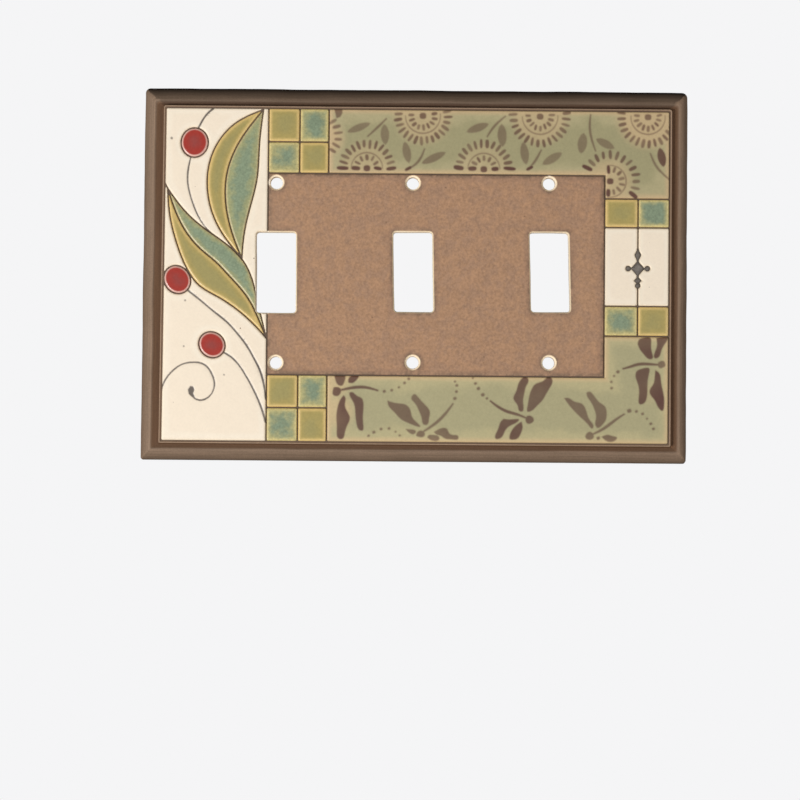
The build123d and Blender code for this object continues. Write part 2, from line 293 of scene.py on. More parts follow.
for x, z, width, tall, lean in openings:
    cut_through(opening_outline, (
        (0.5, floor_height, 0.0, 1.0), (0.35, floor_height, 0.7, 0.0), (0.2, floor_height - 0.02, 1.0, 0.0),
        (0.08, floor_height - 0.15, 1.0, 0.0), (0.0, floor_height - 0.5, 1.0, 0.0),
        (-0.03, floor_height - 1.6, 1.0, 0.0), (0.0, recess_depth + 0.9, 0.9, 0.0),
        (0.08, recess_depth + 0.2, 0.6, 0.0), (0.35, recess_depth, 0.2, 0.0)))
for x, z in screw_holes:
    cut_through(screw_hole_outline, (
        (sink_radius + 0.5, floor_height, 0.0, 1.0), (sink_radius + 0.3, floor_height, 0.7, 0.0),
        (sink_radius + 0.05, floor_height - 0.02, 1.0, 0.0),
        (sink_radius - 0.12, floor_height - 0.12, 1.0, 0.0),
        (screw_radius + 0.15, floor_height - 0.4, 1.0, 0.0),
        (screw_radius + 0.03, floor_height - 0.6, 1.0, 0.0),
        (screw_radius, floor_height - 1.0, 1.0, 0.0), (screw_radius, recess_depth + 0.3, 0.8, 0.0),
        (screw_radius + 0.25, recess_depth, 0.3, 0.0)))
clay_points = np.concatenate(clay_flat)
for outer, holes, front in ((edge_rings[-1], front_holes, True), (recess_ring, back_holes, False)):
    numbers = list(outer) + [i for hole in holes for i in hole]
    place = {number: i for i, number in enumerate(numbers)}
    loops = [[place[i] for i in loop] for loop in [outer] + holes]
    for a, b, c in triangles(clay_points[numbers], loops):
        face = (numbers[a], numbers[b], numbers[c])
        clay_faces.append(face if front else face[::-1])
clay_plate = stand_up("stoneware_plate", clay_points, np.concatenate(clay_heights), clay_faces,
                      **{key: np.concatenate(values) for key, values in clay_values.items()})


def linear(hex_colour):
    """An sRGB hex colour as the linear colour the shaders want."""
    parts = [int(hex_colour[i:i + 2], 16) / 255 for i in (1, 3, 5)]
    return [c / 12.92 if c <= 0.04045 else ((c + 0.055) / 1.055) ** 2.4 for c in parts] + [1]


def add_node(finish, kind, links=(), **settings):
    """Adds a node: settings are its properties, links its inputs, set or joined to an output."""
    node = finish.node_tree.nodes.new(kind)
    for key, value in settings.items():
        setattr(node, key, value)
    for key, value in dict(links).items():
        if isinstance(value, bpy.types.NodeSocket):
            finish.node_tree.links.new(value, node.inputs[key])
        else:
            node.inputs[key].default_value = value
    return node


def new_finish(name):
    """An empty material with its surface shader."""
    finish = bpy.data.materials.new(name)
    finish.use_nodes = True
    return finish, finish.node_tree.nodes["Principled BSDF"]


def settle(piece, cad_node, slot, finish):
    """Gives a piece its material, and lets it stand for the CAD solid of the same piece."""
    piece.data.materials.append(finish)
    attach(piece, "root")
    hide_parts(cad_node)


# Iron-bearing stoneware, wiped with a thin iron wash and fired bare: matt, brown, darker
# where the wash gathered against the bead, with a fine grain and the rib's lines along it.
# Each side of the rounded edge and the ledge is also painted lighter or darker by how light falls on it,
# nearly black along the top.
stoneware, shader = new_finish("washed_stoneware")
tone, pale_glaze_and_bounce_light, line, across, along, painted_shading = [
    add_node(stoneware, "ShaderNodeAttribute", attribute_name=name).outputs["Fac"] for name in clay_values]
position = add_node(stoneware, "ShaderNodeTexCoord").outputs["Object"]
# the rib's lines are 0.4 mm apart and run on for 30 mm
lengthwise = add_node(stoneware, "ShaderNodeCombineXYZ", {
    0: add_node(stoneware, "ShaderNodeMath", {0: across, 1: 2.5}, operation="MULTIPLY").outputs[0],
    1: add_node(stoneware, "ShaderNodeMath", {0: along, 1: 0.033}, operation="MULTIPLY").outputs[0]})
ribs = add_node(stoneware, "ShaderNodeTexNoise", {"Vector": lengthwise.outputs[0], "Scale": 1.0,
                                                  "Detail": 3.0, "Roughness": 0.6})
# clay grain is 0.2 mm, drawn at 0.4 mm so that it shows; the wash clouds over 12 mm
grain = add_node(stoneware, "ShaderNodeTexNoise", {"Vector": position, "Scale": 2500.0, "Detail": 2.0})
clouds = add_node(stoneware, "ShaderNodeTexNoise", {"Vector": position, "Scale": 80.0, "Detail": 3.0})
light_clay = add_node(stoneware, "ShaderNodeMix", {0: clouds.outputs["Fac"], 6: linear("#7c6652"),
                                                   7: linear("#8d7561")}, data_type="RGBA")
toned = add_node(stoneware, "ShaderNodeMapRange", {"Value": tone, "From Min": 0.5, "From Max": 1.0})
dark_wash = add_node(stoneware, "ShaderNodeMix", {0: toned.outputs[0], 6: linear("#5f4129"),
                                                  7: light_clay.outputs[2]}, data_type="RGBA")
# tone above 1 lightens the crest and the bead: rubbed clay with a painted highlight
rubbed_and_highlit = add_node(stoneware, "ShaderNodeMath", {0: tone, 1: 1.0}, operation="MAXIMUM")
rib_shade = add_node(stoneware, "ShaderNodeMapRange", {"Value": ribs.outputs["Fac"], "From Min": 0.3,
                                                       "From Max": 0.7, "To Min": 0.82, "To Max": 1.14})
grain_shade = add_node(stoneware, "ShaderNodeMapRange", {"Value": grain.outputs["Fac"], "From Min": 0.35,
                                                         "From Max": 0.65, "To Min": 0.9, "To Max": 1.08})
# the rib's lines, times the grain, the lighter crest and bead, and the painted light and shade of each side
shade = rib_shade.outputs[0]
for factor in (grain_shade.outputs[0], rubbed_and_highlit.outputs[0], painted_shading):
    shade = add_node(stoneware, "ShaderNodeMath", {0: shade, 1: factor}, operation="MULTIPLY").outputs[0]
colour = add_node(stoneware, "ShaderNodeVectorMath", {0: dark_wash.outputs[2], "Scale": shade},
                  operation="SCALE").outputs[0]
# the drawn line lies over the clay, and pale over the holes: thin glaze on their lips, and painted light
# bounced in from behind down their walls
for share, over in ((line, "#5f4f42"), (pale_glaze_and_bounce_light, "#fdecd2")):
    colour = add_node(stoneware, "ShaderNodeMix", {0: share, 6: colour, 7: linear(over)},
                      data_type="RGBA").outputs[2]
stoneware.node_tree.links.new(colour, shader.inputs["Base Color"])
rib_height = add_node(stoneware, "ShaderNodeMath", {0: ribs.outputs["Fac"], 1: grain.outputs["Fac"]},
                      operation="ADD")
relief = add_node(stoneware, "ShaderNodeBump", {"Height": rib_height.outputs[0], "Strength": 0.35,
                                                "Distance": 0.0001})
stoneware.node_tree.links.new(relief.outputs[0], shader.inputs["Normal"])
shader.inputs["Roughness"].default_value = 0.68
shader.inputs["Specular IOR Level"].default_value = 0.25
settle(clay_plate, "clay_plate", "stoneware_clay", stoneware)


# ---------------------------------------------------------------- the cream panel
# Cream glaze poured between drawn lines of wax and manganese, which stay as thin dark
# grooves because glaze runs off them.  Each pool of glaze has a rounded edge and stands
# 0.7 mm high.  The berries' stems and a curl are drawn in the same dark line.
half_line = 0.2
berry_ring = 0.42
glaze_thickness = 0.7
glaze_edge_round = 0.5
glaze_lip = 0.16                              # how high a pool's outline stands
line_sides = (-83.88, 86.78, -57.23, 55.33)   # centres of the lines inside the bead
panel_line_x = -48.8
panel_sides = (line_sides[0], panel_line_x, *line_sides[2:])
hole_setback = 0.15


def box_gap(points, left, right, bottom, top, radius=0.4):
    """How far the points lie outside a rounded rectangle; below zero is inside."""
    middle = np.array([(left + right) / 2, (bottom + top) / 2])
    reach = np.abs(points - middle) - [(right - left) / 2 - radius, (top - bottom) / 2 - radius]
    return np.hypot(*np.maximum(reach, 0).T) + np.minimum(reach.max(1), 0) - radius


def disc_gap(points, centre, radius):
    return np.hypot(points[:, 0] - centre[0], points[:, 1] - centre[1]) - radius


def line_gap(points, line):
    """How far the points lie from a line drawn through the given places."""
    nearest = np.full(len(points), np.inf)
    for a, b in zip(line[:-1], line[1:]):
        share = np.clip((points - a) @ (b - a) / ((b - a) @ (b - a)), 0, 1)
        nearest = np.minimum(nearest, np.hypot(*(points - a - share[:, None] * (b - a)).T))
    return nearest


def outline_gap(points, loop):
    """How far the points lie outside a closed outline; below zero is inside."""
    distance = line_gap(points, np.vstack([loop, loop[:1]]))
    return np.where(inside(points, loop), -distance, distance)


def hole_gap(points):
    """How far the points lie from the nearest opening or countersink."""
    nearest = np.full(len(points), np.inf)
    for x, z, width, tall, lean in openings:
        square = np.stack([points[:, 0] - x + lean * (points[:, 1] - z), points[:, 1] - z], 1)
        nearest = np.minimum(nearest, box_gap(square, -width / 2, width / 2, -tall / 2, tall / 2, 1.0))
    for centre in screw_holes:
        nearest = np.minimum(nearest, disc_gap(points, centre, sink_radius))
    return nearest


def tile_gap(points, left, right, bottom, top):
    """A tile's outline, drawn back from the centres of the lines round it."""
    return box_gap(points, left + half_line, right - half_line, bottom + half_line, top - half_line)


def smooth_line(places, step=0.4):
    """A smooth curve through the given places, as points about `step` mm apart."""
    places = np.array(places, float)
    runs = np.hypot(*np.diff(places, axis=0).T)
    knots = np.append(0, np.cumsum(runs))
    count = len(places)
    matrix, target = np.eye(count), np.zeros((count, 2))
    for i in range(1, count - 1):
        matrix[i, i - 1:i + 2] = runs[i - 1], 2 * (runs[i - 1] + runs[i]), runs[i]
        target[i] = 6 * ((places[i + 1] - places[i]) / runs[i] - (places[i] - places[i - 1]) / runs[i - 1])
    bends = np.linalg.solve(matrix, target)
    spots = np.linspace(0, knots[-1], max(2, round(knots[-1] / step)))
    i = np.clip(np.searchsorted(knots, spots) - 1, 0, count - 2)
    run, after, before = runs[i, None], (spots - knots[i])[:, None], (knots[i + 1] - spots)[:, None]
    return (bends[i] * before ** 3 + bends[i + 1] * after ** 3) / (6 * run) \
        + (places[i] / run - bends[i] * run / 6) * before \
        + (places[i + 1] / run - bends[i + 1] * run / 6) * after


def between(one, two):
    """The closed loop along one line and back along another that has the same ends."""
    return np.vstack([one, two[-2:0:-1]])


def steepest(gap, points, reach=0.02):
    """The direction in which a gap grows fastest at each point."""
    slope = np.stack([gap(points + [reach, 0]) - gap(points - [reach, 0]),
                      gap(points + [0, reach]) - gap(points - [0, reach])], 1)
    return slope / np.maximum(np.hypot(*slope.T), 1e-9)[:, None]


def zero_loops(gap, window, step=0.3):
    """Closed loops along which a gap is zero, anticlockwise round the inside."""
    left, right, bottom, top = window
    xs = np.arange(left - 1, right + 1 + step, step)
    zs = np.arange(bottom - 1, top + 1 + step, step)
    grid = np.stack(np.meshgrid(xs, zs, indexing="ij"), -1)
    value = gap(grid.reshape(-1, 2)).reshape(len(xs), len(zs))
    within = value < 0
    corners = within[:-1, :-1].astype(int) + within[1:, :-1] + within[1:, 1:] + within[:-1, 1:]
    follows, place = {}, {}
    for i, j in np.argwhere((corners > 0) & (corners < 4)).tolist():
        square = [(i, j), (i + 1, j), (i + 1, j + 1), (i, j + 1)]
        leaving, entering = [], []
        for a, b in zip(square, square[1:] + square[:1]):
            if within[a] != within[b]:
                key = (min(a, b), max(a, b))
                share = value[a] / (value[a] - value[b])
                place[key] = grid[a] + share * (grid[b] - grid[a])
                (leaving if within[a] else entering).append(key)
        if len(leaving) == 2 and not within[square[0]]:
            entering.reverse()
        follows.update(zip(leaving, entering))
    loops = []
    while follows:
        start, there = follows.popitem()
        loop = [place[start]]
        while there != start:
            loop.append(place[there])
            there = follows.pop(there)
        loops.append(np.array(loop))
    return loops


def even_loop(loop, step):
    """The same closed loop with its points evenly spaced."""
    closed = np.vstack([loop, loop[:1]])
    knots = np.append(0, np.cumsum(np.hypot(*np.diff(closed, axis=0).T)))
    spots = np.linspace(0, knots[-1], max(8, round(knots[-1] / step)), endpoint=False)
    return np.stack([np.interp(spots, knots, closed[:, 0]), np.interp(spots, knots, closed[:, 1])], 1)


def turned_area(loop):
    x, z = loop.T
    return (x @ np.roll(z, -1) - z @ np.roll(x, -1)) / 2


def glaze_pool(name, gap, window, seed=None, thickness=glaze_thickness, spacing=0.9,
               drawn=None, drawn_near=(), drawn_rise=-0.12, phase=0.0, crown=0.06,
               warm_spots=(), pool_depth=None, fill=1.0):
    """One pool of glaze: a closed mesh with rounded edges, filling where `gap` is below zero.

    `seed` picks the pool when the outline falls into several.  `drawn` gives how strongly
    each point is painted, and `drawn_near` are lines along which more points are wanted.
    `pool_depth` tells how deep in the pool a point lies, where that isn't just its distance
    from the outline, and `fill` how much glaze the pool was given.
    """
    loops = [loop for loop in zero_loops(gap, window) if abs(turned_area(loop)) > 0.3]
    outer_loops = [loop for loop in loops if turned_area(loop) > 0]
    if seed is None:
        outer = max(outer_loops, key=turned_area)
    else:
        outer = [loop for loop in outer_loops if inside(np.array([seed]), loop)[0]][0]
    holes = [loop for loop in loops if turned_area(loop) < 0 and inside(loop[:1], outer)[0]]
    outline = [even_loop(loop, 0.35) for loop in [outer] + holes]
    for _ in range(2):
        outline = [loop - steepest(gap, loop) * gap(loop)[:, None] for loop in outline]
    border = np.concatenate(outline)
    inwards = -steepest(gap, border)
    more = []
    for depth in (0.09, 0.22, 0.42, 0.75):
        ring = border + inwards * depth
        more.append(ring[-gap(ring) > 0.85 * depth])
    if len(drawn_near):
        near = np.concatenate(drawn_near)
        more.append(near[-gap(near) > 0.15])
    left, right, bottom, top = window
    rows = []
    for i, z in enumerate(np.arange(bottom, top, spacing * 0.87)):
        xs = np.arange(left + (i % 2) * spacing / 2, right, spacing)
        rows.append(np.stack([xs, np.full(len(xs), z)], 1))
    field = np.concatenate(rows)
    more.append(field[-gap(field) > 0.5])
    more = np.concatenate(more)
    _, first = np.unique(np.floor(more / min(0.2, spacing / 2)), axis=0, return_index=True)
    more = more[np.sort(first)]
    more = more[inside(more, outline[0])]
    flat = np.concatenate([border, more])
    starts = np.cumsum([0] + [len(loop) for loop in outline])
    loops = [list(range(a, b)) for a, b in zip(starts, starts[1:])]
    faces = triangles(flat, loops)
    depth = np.maximum(-gap(flat), 0)
    depth[:len(border)] = 0
    rounding = np.sqrt(np.maximum(1 - (1 - np.minimum(depth / glaze_edge_round, 1)) ** 2, 0))
    paint = drawn(flat) if drawn else np.zeros(len(flat))
    warm = np.zeros(len(flat) + len(border))
    for x, z, radius, strength in warm_spots:
        away = disc_gap(np.concatenate([flat, border]), (x, z), radius)
        warm = np.maximum(warm, strength * stroke(away, 2.5))
    height = glaze_lip + (thickness - glaze_lip) * rounding * (0.92 + crown * np.tanh(depth / 3))
    height = height + rounding * (0.025 * drift(flat, 2.7, phase) + drawn_rise * paint)
    height = np.minimum(height, thickness) + floor_height
    under = np.arange(len(border)) + len(flat)
    faces += [tuple(under[i] for i in face[::-1]) for face in triangles(border, loops)]
    for loop in loops:
        for a, b in zip(loop, loop[1:] + loop[:1]):
            faces.append((b, a, under[a], under[b]))
    flat = np.concatenate([flat, border])
    height = np.append(height, np.full(len(border), floor_height - 0.02))
    deep = fill * (pool_depth(flat) if pool_depth else np.append(depth, np.zeros(len(border))))
    return stand_up(name, flat, height, faces, edge=np.append(depth, np.zeros(len(border))),
                    deep=deep, ink=np.append(paint, paint[:len(border)]),
                    hole=np.maximum(hole_gap(flat), 0), warm=warm)


# leaves and berries stand in the cream panel; their outlines run from tip to base
upper_leaf_back = smooth_line([(-50.6, 54.9), (-60.0, 50.2), (-67.6, 40.2), (-69.4, 29.0),
                               (-65.6, 15.2), (-57.5, 4.4)])
upper_leaf_vein = smooth_line([(-50.6, 54.9), (-58.3, 44.5), (-62.6, 34.0), (-62.9, 21.5),
                               (-60.3, 11.3), (-57.5, 4.4)])
upper_leaf_front = smooth_line([(-50.6, 54.9), (-51.9, 43.0), (-52.6, 31.5), (-55.3, 20.0),
                                (-57.0, 11.0), (-57.5, 4.4)])
lower_leaf_top = smooth_line([(-82.9, 27.9), (-80.5, 24.6), (-75.2, 18.6), (-69.4, 13.9), (-62.5, 9.0),
                              (-56.4, 2.6), (-53.0, -6.0), (-51.1, -14.0), (-49.0, -22.4)])
lower_leaf_vein = smooth_line([(-82.9, 27.9), (-79.7, 19.2), (-76.1, 12.8), (-71.0, 7.1), (-66.3, 3.2),
                               (-62.2, -1.0), (-55.6, -8.6), (-51.6, -16.2), (-49.0, -22.4)])
lower_leaf_bottom = smooth_line([(-82.9, 27.9), (-82.0, 18.6), (-79.5, 9.2), (-76.1, 1.0), (-71.4, -5.1),
                                 (-66.2, -8.2), (-57.5, -14.0), (-52.3, -18.8), (-49.0, -22.4)])
leaf_stalk = np.array([(-84.3, 30.6), (-82.9, 27.9)])   # joins the leaf's tip to the frame
upper_leaf = between(upper_leaf_back, upper_leaf_front)
lower_leaf = between(lower_leaf_top, lower_leaf_bottom)
# each berry: its middle, its half length and half width, and how its length leans, in radians
berries = {"berry_top": ((-73.85, 43.5), 4.75, 4.45, 1.5), "berry_left": ((-79.2, -2.9), 4.7, 4.15, -0.95),
           "berry_low": ((-67.3, -24.8), 4.4, 4.0, -0.7)}
stem_widths = (0.6, 0.55, 0.7, 0.65, 0.55)
stems = [smooth_line(places) for places in (
    [(-67.6, 55.0), (-69.5, 53.3), (-72.6, 48.2)],
    [(-75.0, 38.8), (-75.8, 35.0), (-76.1, 31.5), (-75.8, 28.5), (-74.9, 25.0), (-73.0, 20.0),
     (-70.0, 15.0), (-67.6, 12.5)],
    [(-76.0, -6.2), (-71.1, -10.0), (-67.6, -12.9), (-64.4, -15.4), (-61.9, -17.5), (-59.4, -20.2),
     (-56.9, -23.2), (-54.7, -26.4), (-52.9, -29.6), (-51.1, -33.2), (-49.9, -37.1), (-49.0, -42.9)],
    [(-64.0, -27.0), (-60.8, -28.9), (-58.3, -31.4), (-56.1, -34.6), (-54.0, -38.2), (-52.2, -41.8),
     (-50.4, -46.1), (-49.0, -50.7)],
    [(-84.4, -42.5), (-83.6, -38.9), (-82.2, -36.1), (-79.7, -33.2), (-76.9, -31.4), (-74.0, -30.8),
     (-71.1, -31.0), (-69.0, -32.1), (-67.4, -34.3), (-66.4, -37.1), (-66.5, -39.6), (-67.8, -42.0),
     (-69.7, -43.3), (-71.9, -43.4), (-73.6, -42.2), (-74.2, -40.6), (-73.9, -39.2)])]
iron_spots = ((-81.8, 44.9, 0.45), (-76.4, -9.9, 0.35), (-63.1, -34.9, 0.3), (-76.7, -25.4, 0.3))
curl_blob = np.array([(-73.7, -42.6), (-74.9, -41.5), (-75.2, -40.0), (-74.4, -38.8), (-73.4, -38.9),
                      (-73.0, -40.0), (-73.4, -41.2), (-72.7, -42.9)])


def berry_gap(points, centre, long, short, lean):
    """How far the points lie outside a berry, whose outline is a little oval."""
    x, z = (points - centre).T
    along, beside_it = x * math.cos(lean) + z * math.sin(lean), z * math.cos(lean) - x * math.sin(lean)
    size = np.maximum(np.hypot(along / long, beside_it / short), 1e-6)
    return (size - 1) * np.hypot(along, beside_it) / size


def cream_gap(points):
    gap = tile_gap(points, *panel_sides)
    gap = np.maximum(gap, half_line - outline_gap(points, upper_leaf))
    gap = np.maximum(gap, half_line - outline_gap(points, lower_leaf))
    gap = np.maximum(gap, hole_setback - hole_gap(points))
    gap = np.maximum(gap, half_line - line_gap(points, leaf_stalk))
    for berry in berries.values():
        gap = np.maximum(gap, berry_ring - berry_gap(points, *berry))
    return gap


def stroke(gap, soft=0.16):
    """How strongly a painted stroke covers: full inside its outline, with a soft edge."""
    share = np.clip(0.5 - gap / (2 * soft), 0, 1)
    return share * share * (3 - 2 * share)


def stem_ink(points):
    ink = stroke(outline_gap(points, curl_blob))
    for x, z, radius in iron_spots:
        ink = np.maximum(ink, 0.75 * stroke(disc_gap(points, (x, z), radius)))
    for stem, width in zip(stems, stem_widths):
        near = np.all((points > stem.min(0) - 1) & (points < stem.max(0) + 1), axis=1)
        if near.any():
            half = width / 2 * (1 + 0.2 * drift(points[near], 3, 5))
            ink[near] = np.maximum(ink[near], stroke(line_gap(points[near], stem) - half))
    return ink


def sideways(line):
    """The direction square to a line at each of its points."""
    ahead = np.gradient(line, axis=0)
    return np.stack([-ahead[:, 1], ahead[:, 0]], 1) / np.hypot(*ahead.T)[:, None]


def beside(line, offsets):
    """Points along both sides of a line, at the given distances from it."""
    return np.concatenate([line + sideways(line) * offset for offset in offsets])


def glaze(name, edge, body, pool, roughness, speck="#6b4a32", specks=0.0, lip="#efd9b8", mottle=0.08,
          edge_from=0.1, edge_to=1.1, pool_from=1.2, pool_to=2.8, cloud_size=5.0, ink="#5b5348",
          cloud_gain=1.0, lip_width=0.3, blotch=None, blotch_size=2.0, fine_size=0.7):
    """A fired glaze: thin and warm at its edges, its own colour beyond, and deeper in a pool.

    Sizes are in mm.  Specks are iron spots burnt through from the clay, 0.3 mm across.
    """
    finish, shader = new_finish(name)
    position = add_node(finish, "ShaderNodeTexCoord").outputs["Object"]
    depth, deep, warm, painted, hole = [
        add_node(finish, "ShaderNodeAttribute", attribute_name=name).outputs["Fac"]
        for name in ("edge", "deep", "warm", "ink", "hole")]
    clouds = add_node(finish, "ShaderNodeTexNoise", {"Vector": position, "Scale": 1000 / cloud_size,
                                                     "Detail": 3.0, "Roughness": 0.55})
    fine = add_node(finish, "ShaderNodeTexNoise", {"Vector": position, "Scale": 1000 / fine_size,
                                                   "Detail": 4.0, "Roughness": 0.65})
    wander = add_node(finish, "ShaderNodeMapRange", {"Value": clouds.outputs["Fac"], "From Min": 0.3,
                                                     "From Max": 0.7, "To Min": -0.9 * cloud_gain,
                                                     "To Max": 0.9 * cloud_gain})
    reach = add_node(finish, "ShaderNodeMath", {0: deep, 1: wander.outputs[0]}, operation="ADD")
    thin = add_node(finish, "ShaderNodeMapRange", {"Value": depth, "From Min": edge_from,
                                                   "From Max": edge_to}, interpolation_type="SMOOTHSTEP")
    pooled = add_node(finish, "ShaderNodeMapRange", {"Value": reach.outputs[0], "From Min": pool_from,
                                                     "From Max": pool_to}, interpolation_type="SMOOTHSTEP")
    under = [(thin.outputs[0], body), (pooled.outputs[0], pool), (warm, edge)]
    if blotch:
        patches = add_node(finish, "ShaderNodeTexNoise", {"Vector": position, "Scale": 1000 / blotch_size,
                                                          "Detail": 5.0, "Roughness": 0.7})
        share = add_node(finish, "ShaderNodeMapRange", {"Value": patches.outputs["Fac"], "From Min": 0.4,
                                                        "From Max": 0.62}, interpolation_type="SMOOTHSTEP")
        under.append((share.outputs[0], blotch))
    colour = linear(edge)
    for share, tint in under:
        colour = add_node(finish, "ShaderNodeMix", {0: share, 6: colour, 7: linear(tint)},
                          data_type="RGBA").outputs[2]
    strength = add_node(finish, "ShaderNodeMapRange", {"Value": fine.outputs["Fac"], "From Min": 0.3,
                                                       "From Max": 0.7, "To Min": 1 - mottle,
                                                       "To Max": 1 + mottle})
    colour = add_node(finish, "ShaderNodeVectorMath", {0: colour, "Scale": strength.outputs[0]},
                      operation="SCALE").outputs[0]
    over = []
    if specks:
        spots = add_node(finish, "ShaderNodeTexVoronoi", {"Vector": position, "Scale": 450.0})
        size = add_node(finish, "ShaderNodeSeparateColor", {0: spots.outputs["Color"]})
        chosen = add_node(finish, "ShaderNodeMapRange", {"Value": size.outputs[0], "From Min": 1 - specks,
                                                         "To Max": 0.16})
        spot = add_node(finish, "ShaderNodeMath", {0: chosen.outputs[0], 1: spots.outputs["Distance"]},
                        operation="SUBTRACT")
        shown = add_node(finish, "ShaderNodeMapRange", {"Value": spot.outputs[0], "From Max": 0.05,
                                                        "To Max": 0.8})
        over.append((shown.outputs[0], speck))
    worn = add_node(finish, "ShaderNodeMapRange", {"Value": clouds.outputs["Fac"], "From Min": 0.3,
                                                   "From Max": 0.7, "To Min": 0.88})
    painted = add_node(finish, "ShaderNodeMath", {0: painted, 1: worn.outputs[0]}, operation="MULTIPLY")
    broken = add_node(finish, "ShaderNodeMapRange", {"Value": hole, "From Min": 0.15,
                                                     "From Max": 0.15 + lip_width, "To Min": 1.0,
                                                     "To Max": 0.0}, interpolation_type="SMOOTHSTEP")
    for share, tint in over + [(painted.outputs[0], ink), (broken.outputs[0], lip)]:
        colour = add_node(finish, "ShaderNodeMix", {0: share, 6: colour, 7: linear(tint)},
                          data_type="RGBA").outputs[2]
    finish.node_tree.links.new(colour, shader.inputs["Base Color"])
    relief = add_node(finish, "ShaderNodeBump", {"Height": fine.outputs["Fac"], "Strength": 0.12,
                                                 "Distance": 0.0001})
    finish.node_tree.links.new(relief.outputs[0], shader.inputs["Normal"])
    shader.inputs["Roughness"].default_value = roughness
    shader.inputs["IOR"].default_value = 1.5
    return finish


# satin tin-white glaze over cream slip: soft gloss, faint warm clouding, rare iron spots
cream_glaze = glaze("satin_cream_glaze", edge="#f1e0c6", body="#f5e7d1", pool="#f3e3cc", roughness=0.42,
                    specks=0.12, mottle=0.025, cloud_size=25.0, ink="#574d46")
curl_end = (-73.9, -40.8)
finely_meshed = [beside(stem, (-0.5, -0.3, -0.15, 0, 0.15, 0.3, 0.5)) for stem in stems]
for x, z in [curl_end] + [spot[:2] for spot in iron_spots]:
    patch = np.meshgrid(np.arange(x - 1.9, x + 1.9, 0.25), np.arange(z - 2.6, z + 2.6, 0.25))
    finely_meshed.append(np.stack(patch, -1).reshape(-1, 2))
for node, seed in (("cream_ground_low", (-75.0, -50.0)), ("cream_ground_sliver", (-49.8, -15.2)),
                   ("cream_ground_side", (-82.5, 8.0)), ("cream_ground_strip", (-50.5, 30.0)),
                   ("cream_ground_high", (-80.0, 50.0))):
    piece = glaze_pool(node.replace("cream_ground", "cream_pool"), cream_gap, panel_sides, seed,
                       drawn=stem_ink, phase=0.4, spacing=1.0, drawn_near=finely_meshed)
    settle(piece, node, "cream_glaze", cream_glaze)


# ---------------------------------------------------------------- leaves
# Two leaves, each split along its vein by a drawn line: one half filled with olive glaze,
# the other with a copper-green that breaks to olive where it runs thin.
# translucent olive glaze: golden where thin, grass-olive where it pools
olive_glaze = glaze("clear_olive_glaze", edge="#dcbd79", body="#ab995b", pool="#a0945e", roughness=0.33,
                    edge_to=1.5, pool_from=1.0, pool_to=3.6, cloud_size=6.0, mottle=0.09)
# copper-green glaze: olive-gold at its edges, blue-green and cloudy in the middle
teal_glaze = glaze("copper_green_glaze", edge="#c0b283", body="#a0a073", pool="#869478", roughness=0.33,
                   edge_to=0.9, pool_from=0.3, pool_to=2.8, cloud_size=3.2, mottle=0.2, cloud_gain=1.1)


def leaf_gap(side_one, side_two):
    loop = between(side_one, side_two)

    def gap(points):
        return np.maximum(outline_gap(points, loop) + half_line, hole_setback - hole_gap(points))
    return gap, (loop[:, 0].min(), loop[:, 0].max(), loop[:, 1].min(), loop[:, 1].max())


leaf_warmth = [(-51.5, 53.0, 1.5, 0.5), (-58.3, 7.5, 1.5, 0.5), (-52.5, -17.5, 3.0, 0.7),
               (-82.0, 22.0, 3.0, 0.5)]
for node, side_one, side_two, seed, slot, finish in (
        ("upper_leaf_back", upper_leaf_back, upper_leaf_vein, None, "olive_glaze", olive_glaze),
        ("upper_leaf_front", upper_leaf_vein, upper_leaf_front, None, "teal_glaze", teal_glaze),
        ("lower_leaf_bottom", lower_leaf_vein, lower_leaf_bottom, None, "olive_glaze", olive_glaze),
        ("lower_leaf_top", lower_leaf_top, lower_leaf_vein, (-65.0, 6.5), "teal_glaze", teal_glaze),
        ("lower_leaf_tip", lower_leaf_top, lower_leaf_vein, (-51.0, -15.8), "teal_glaze", teal_glaze)):
    gap, window = leaf_gap(side_one, side_two)
    piece = glaze_pool(node.replace("leaf", "leaf_glaze"), gap, window, seed, spacing=0.7, phase=1.1,
                       warm_spots=leaf_warmth if slot == "olive_glaze" else (),
                       fill=0.8 if node == "upper_leaf_front" else 1.3)
    settle(piece, node, slot, finish)


# ---------------------------------------------------------------- berries
# Three round pools of iron-and-tin red glaze, each inside a drawn ring.  The glaze crawls
# back a little as it melts, so a pinker, thinner band shows round the rim.
red_glaze = glaze("tin_red_glaze", edge="#e3b9aa", body="#a4392f", pool="#97443e", roughness=0.26,
                  edge_from=0.15, edge_to=0.8, pool_from=1.0, pool_to=4.2, cloud_size=3.0, mottle=0.07,
                  cloud_gain=0.9)
for node, berry in berries.items():
    (x, z), long = berry[:2]
    piece = glaze_pool(node + "_glaze", lambda points: np.maximum(
        berry_gap(points, *berry), tile_gap(points, line_sides[0], panel_line_x, -60, 60)),
        (x - long, x + long, z - long, z + long), spacing=0.5, phase=long)
    settle(piece, node, "red_glaze", red_glaze)


# ---------------------------------------------------------------- mosaic tiles
# Square pools of olive and copper-green glaze, chequered: four above and four below the
# brown field, and two pairs in the right column.
pooled_teal = glaze("pooled_copper_green_glaze", edge="#d0be80", body="#ada775", pool="#808e74",
                    roughness=0.33, edge_to=1.5, pool_from=0.6, pool_to=3.0, cloud_size=2.6, mottle=0.2,
                    cloud_gain=0.9)
mosaic_xs = (-48.8, -38.25, -28.45)
column_xs = (64.9, 76.2, 86.78)
tile_fills = {"mosaic_top_low_left": 0.8, "mosaic_bottom_high_right": 0.85, "mosaic_bottom_low_left": 0.88,
              "tile_upper_right": 1.3, "tile_lower_left": 0.85}
tiles = {}


def rounded_depth(points, sides):
    """How deep in a tile a point lies, by level lines that round off towards the middle."""
    return (np.maximum(side_gaps(points, *sides), 0.05) ** -3).sum(axis=0) ** (-1 / 3)


